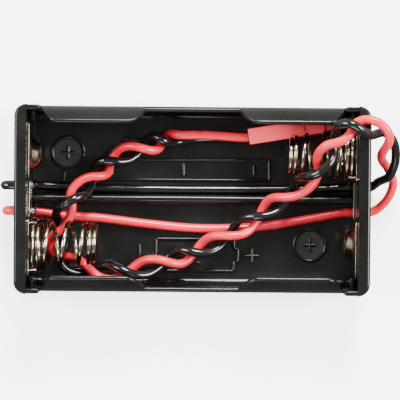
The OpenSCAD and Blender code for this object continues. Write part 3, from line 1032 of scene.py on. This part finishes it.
    def strip(self) -> Object:
        """The part between the end walls: the section carried along X, closed at both ends."""
        x, wrap = self.stations()
        right = self.half_section(wrap)
        left = right[:, -2:0:-1] * [-1, 1]
        section = np.concatenate([right, left], axis=1)
        columns = section.shape[1]
        along = np.broadcast_to(x[:, None, None], (len(x), columns, 1))
        points = np.concatenate([along, section], axis=2).reshape(-1, 3) * MM
        faces = [face[::-1] for face in closed_faces(len(x), columns)]
        strip = mesh_piece("strip", points, faces)
        with edited(strip.data) as form:
            bmesh.ops.recalc_face_normals(form, faces=form.faces)
        return strip

    def block(self, low: tuple, high: tuple, edge: float, corner: float = 0.0) -> Object:
        """A block with rounded edges.

        Args:
            low: lowest corner in millimetres.
            high: highest corner in millimetres.
            edge: radius of its edges.
            corner: radius of the two upright edges that lie furthest out along X, or 0.

        Returns:
            The block.
        """
        spread = np.array(np.meshgrid(*zip(low, high), indexing="ij")).reshape(3, 8).T
        faces = [(0, 1, 3, 2), (4, 6, 7, 5), (0, 4, 5, 1), (2, 3, 7, 6), (0, 2, 6, 4), (1, 5, 7, 3)]
        piece = mesh_piece("block", spread * MM, faces)
        with edited(piece.data) as form:
            bmesh.ops.recalc_face_normals(form, faces=form.faces)
            if corner:
                out = max(low[0], high[0], key=abs) * MM
                outer = [
                    e for e in form.edges if all(abs(v.co.x - out) < SAME_POINT for v in e.verts)
                ]
                upright = [e for e in outer if e.verts[0].co.y == e.verts[1].co.y]
                round_edges(form, upright, corner * MM, 10)
            sharp = [e for e in form.edges if e.calc_face_angle(0) > radians(40)]
            round_edges(form, sharp, edge * MM, 4)
        return piece

    def end_wall(self, side: int) -> Object:
        """The left (-1) or right (1) end wall with its lead holes."""
        near, far = sorted((side * self.pocket_x, side * self.half_l))
        wall = self.block(
            (near, -self.half_w, 0), (far, self.half_w, self.height), self.edge_r, self.corner_r
        )
        middle, reach = (near + far) / 2, far - near
        for way, z in self.holes[(side + 1) // 2]:
            path = [(middle + x, way * self.hole_y, z) for x in (-reach, reach)]
            drill = tube("drill", np.array(path) * MM, self.hole / 2 * MM, HOLE_SIDES, (0, 1, 0))
            cut = wall.modifiers.new("hole", "BOOLEAN")
            cut.object, cut.operation, cut.solver = drill, "DIFFERENCE", "EXACT"
            applied(wall)
            bpy.data.objects.remove(drill)
        return wall

    def corner_parts(self) -> list[Object]:
        """The wings, guide posts and foot ribs, four of each."""
        parts = []
        for low, high, edge in self.blocks:
            for flip in ((1, 1), (1, -1), (-1, 1), (-1, -1)):
                turned = np.array([low, high]) * [*flip, 1]
                parts.append(self.block(tuple(turned.min(0)), tuple(turned.max(0)), edge))
        return parts

    def build(self) -> None:
        """Make the tray as one piece and dress it."""
        parts = [self.strip(), self.end_wall(-1), self.end_wall(1), *self.corner_parts()]
        tray = joined(parts, "moulded_tray")
        shade(tray, crease=38)
        MOULDED_ABS.dress(tray, "black_plastic", "holder_body")


@dataclass(frozen=True)
class FloorMarks(Holder):
    """Marks moulded on the tray's floor: plus discs, cell outlines, signs and numbers.

    Args:
        line: width of a raised line.
        rise: height of a raised line.
        step: distance between two points of a line.
        disc_r: radius of a plus disc.
        disc_z: its foot and its etched face, from the floor's top.
        disc_plus: half the size of the plus in a disc.
        discs: middles of the two plus discs.
        cells: middle, half length and half width of the upper and of the lower cell outline.
        nub: length of a cell outline's button, and its width as a share of the cell's.
        numerals: middle and half height of the numerals 1 and 2.
        pluses: middle and half size of each plus sign beside an outline.
        bars: the minus signs, the arrow and the short bars, as lines.
    """

    line: float = 0.6
    rise: float = 0.46
    step: float = 0.2
    disc_r: float = 2.65
    disc_z: Span = (-0.3, 0.1)
    disc_plus: float = 1.15
    discs: tuple = ((-21.1, 7.7), (20.0, -7.7))
    cells: tuple = ((-1.5, 4.9, 14.5, 1.7), (0.5, -9.5, 6.6, 2.7))
    nub: Span = (0.7, 0.4)
    numerals: tuple = ((-1.5, 4.9, 1.05), (0.5, -9.5, 1.4))
    pluses: tuple = ((-13.6, 4.9, 0.95), (10.2, -9.6, 1.3))
    bars: tuple = (
        ((10.4, 4.0), (10.4, 5.8)), ((-11.5, 9.9), (-6.8, 9.9)),
        ((-10.2, 11.0), (-11.7, 9.9), (-10.2, 8.8)), ((-8.9, -11.2), (-8.9, -7.8)),
        ((-21.7, 2.7), (-21.7, 4.4)),
    )  # fmt: skip

    def ring(self, x: float, y: float) -> Array:
        """Circle of the disc's radius, its points evenly turned round (x, y)."""
        turn = np.linspace(0, 2 * np.pi, 49)
        return np.stack([x + self.disc_r * np.cos(turn), y + self.disc_r * np.sin(turn)], axis=1)

    def outline(self, cell: tuple, side: int) -> Array:
        """Closed outline of a cell, with its button stepped out on one side along X, 1 or -1."""
        x, y, a, b = cell
        out, c = a + self.nub[0], self.nub[1] * b
        lower = [(-a, -b), (a, -b), (a, -c), (out, -c)]
        upper = [(px, -py) for px, py in lower[::-1]]
        return np.array([*lower, *upper, lower[0]]) * [side, 1] + [x, y]

    def cross(self, x: float, y: float, half: float) -> list[Array]:
        """Two crossed strokes of one plus sign."""
        arms = np.array([[(-1, 0), (1, 0)], [(0, -1), (0, 1)]])
        return list(arms * half + [x, y])

    def strokes(self) -> list[Array]:
        """All the lines of the marks, of X and Y in millimetres."""
        bow = np.linspace(2.7, -0.75, 12)
        top_of_two = np.stack([0.6 * np.cos(bow), 0.42 + 0.55 * np.sin(bow)], axis=1)
        form_of_two = np.array([*top_of_two, (-0.62, -0.95), (0.65, -0.95)])
        form_of_one = np.array([(-0.4, 0.6), (0, 0.97), (0, -0.97)])
        lines = [self.ring(*disc) for disc in self.discs]
        for plus in (*((*disc, self.disc_plus) for disc in self.discs), *self.pluses):
            lines += self.cross(*plus)
        lines += [self.outline(*one) for one in zip(self.cells, (-1, 1))]
        for form, (x, y, half) in zip((form_of_one, form_of_two), self.numerals):
            lines.append(form * half + [x, y])
        return lines + [np.array(bar) for bar in self.bars]

    def build(self) -> None:
        """Make every line a low rounded rib: a tube pressed flat towards the floor."""
        ribs = []
        for number, line in enumerate(self.strokes()):
            path = np.column_stack([line, np.full(len(line), self.floor_z)]) * MM
            path = even(path, self.step * MM)
            rib = tube(f"rib_{number}", path, self.line / 2 * MM, LINE_SIDES, (0, 0, 1))
            ribs.append(rib)
        marks = joined(ribs, "floor_marks")
        points = np.empty(3 * len(marks.data.vertices))
        marks.data.vertices.foreach_get("co", points)
        heights = points[2::3]
        floor = self.floor_z * MM
        heights[:] = floor + (heights - floor) * self.rise / (self.line / 2)
        marks.data.vertices.foreach_set("co", points)
        marks.data.update()
        MOULDED_ABS.dress(marks, "black_plastic")
        faces = []
        for x, y in self.discs:
            path = np.array([(x, y, self.floor_z + z) for z in self.disc_z]) * MM
            faces.append(tube("disc", path, self.disc_r * MM, DISC_SIDES, (1, 0, 0)))
        discs = joined(faces, "disc_faces")
        shade(discs, crease=40)
        ETCHED_ABS.dress(discs, "black_plastic")


def main() -> None:
    """Build the camera and the cords first, then the springs, the contacts and the tray."""
    logging.basicConfig(level=logging.INFO, format="%(name)s: %(message)s")
    Studio().build()
    cad_pieces = CadPieces()
    TwistedLeads().build(cad_pieces.plug())
    HeldLeads().build()
    spring = CoilSpring()
    spring.build("link_coil", "link_spring", 1)
    spring.build("negative_coil", "negative_spring", -1)
    cad_pieces.contacts()
    Tray().build()
    FloorMarks().build()


if __name__ == "__main__":
    main()
